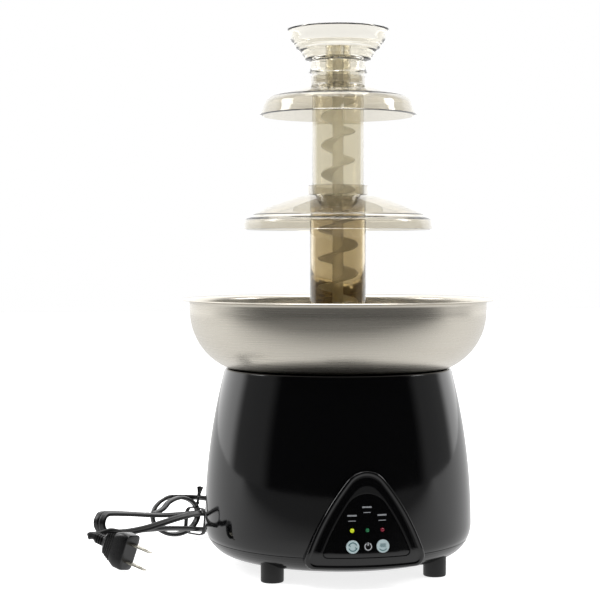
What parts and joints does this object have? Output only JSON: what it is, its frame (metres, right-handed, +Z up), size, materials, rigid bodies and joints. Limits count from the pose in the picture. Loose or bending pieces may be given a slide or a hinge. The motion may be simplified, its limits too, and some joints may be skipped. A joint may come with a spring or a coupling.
{
  "type": "chocolate fountain",
  "caption": "Tiered chocolate fountain: a heated steel bowl on a moulded base, with a motor-driven auger inside a tower of clear tiers.",
  "frame": {"origin": "on the auger's axis at the level that the feet stand on", "axes": "+Z up along the auger's axis, -Y towards the control panel"},
  "size_m": [0.2922, 0.2709, 0.3842],
  "materials": {
    "gloss_black": "moulded, high gloss",
    "fascia_black": "moulded, high gloss",
    "board_green": "coated glass fibre board",
    "switch_black": "moulded",
    "lamp_clear": "moulded, translucent",
    "button_white": "moulded, satin gloss",
    "button_black": "moulded, satin gloss",
    "steel": "spun and brushed round the axis",
    "zinc": "zinc plated",
    "bright_steel": "turned and polished",
    "aluminium": "as rolled",
    "heater_grey": "oxidised sheath",
    "ceramic": "moulded, heat proof",
    "acetal": "moulded",
    "brass": "machined",
    "smoke_clear": "moulded clear plastic with a smoke tint",
    "smoke_dark": "moulded clear plastic with a smoke tint",
    "silicone": "moulded silicone",
    "rubber_black": "moulded, satin",
    "lead_black": "extruded PVC, satin"
  },
  "bodies": {
    "base": {"base_housing": "gloss_black", "control_hood": "gloss_black", "fascia": "fascia_black", "control_board": "board_green", "tact_switches": "switch_black", "indicator_lamps": "lamp_clear", "bottom_cover": "gloss_black", "cover_screws": "zinc", "feet": "rubber_black", "bowl": "steel", "shaft_seal": "silicone", "tower_posts": "bright_steel", "post_spacers": "zinc", "post_nuts": "zinc", "bowl_studs": "zinc", "stud_nuts": "zinc", "heater_plate": "aluminium", "heating_element": "heater_grey", "thermostat": "ceramic", "thermal_fuse": "bright_steel", "gearbox_plate": "zinc", "gearbox_case": "acetal", "idler_pin": "bright_steel", "motor": "zinc", "strain_relief": "lead_black", "cord_lead": "lead_black", "cord_hank": "lead_black", "cord_tail": "lead_black", "cord_tie": "lead_black", "plug_body": "lead_black", "plug_blades": "brass"},
    "drive": {"output_shaft": "bright_steel", "output_gear": "acetal", "auger": "smoke_dark"},
    "idler": {"idler_gear": "acetal"},
    "rotor": {"motor_shaft": "bright_steel", "motor_pinion": "brass"},
    "lower_tower": {"lower_tube": "smoke_dark", "large_tier": "smoke_clear"},
    "upper_tower": {"upper_tube": "smoke_clear", "small_tier": "smoke_clear"},
    "crown_cup": {"crown": "smoke_clear"},
    "mix_key": {"mix_button": "button_white"},
    "power_key": {"power_button": "button_black"},
    "heat_key": {"heat_button": "button_white"}
  },
  "joints": [
    {"name": "auger_spin", "type": "hinge", "parent": "base", "child": "drive", "pos_m": [0, 0, 0.15], "axis": [0, 0, 1], "continuous": true},
    {"name": "idler_spin", "type": "hinge", "parent": "base", "child": "idler", "pos_m": [0.02815, 0.01625, 0.108], "axis": [0, 0, 1], "continuous": true},
    {"name": "rotor_spin", "type": "hinge", "parent": "base", "child": "rotor", "pos_m": [0.00639, 0.02639, 0.1], "axis": [0, 0, 1], "continuous": true},
    {"name": "tower_lift", "type": "slide", "parent": "base", "child": "lower_tower", "axis": [0, 0, 1], "range_m": [0, 0.245]},
    {"name": "upper_tower_lift", "type": "slide", "parent": "lower_tower", "child": "upper_tower", "axis": [0, 0, 1], "range_m": [0, 0.12]},
    {"name": "crown_lift", "type": "slide", "parent": "upper_tower", "child": "crown_cup", "axis": [0, 0, 1], "range_m": [0, 0.03]},
    {"name": "mix_press", "type": "slide", "parent": "base", "child": "mix_key", "axis": [0, 0.9931, -0.1174], "range_m": [0, 0.0008], "stiffness_N_per_m": 600, "springref_m": -0.0012},
    {"name": "power_press", "type": "slide", "parent": "base", "child": "power_key", "axis": [0, 0.9931, -0.1174], "range_m": [0, 0.0008], "stiffness_N_per_m": 600, "springref_m": -0.0012},
    {"name": "heat_press", "type": "slide", "parent": "base", "child": "heat_key", "axis": [0, 0.9931, -0.1174], "range_m": [0, 0.0008], "stiffness_N_per_m": 600, "springref_m": -0.0012}
  ],
  "couplings": [
    {"joint": "idler_spin", "follows": "auger_spin", "ratio": -3.3333},
    {"joint": "rotor_spin", "follows": "auger_spin", "ratio": 10}
  ]
}
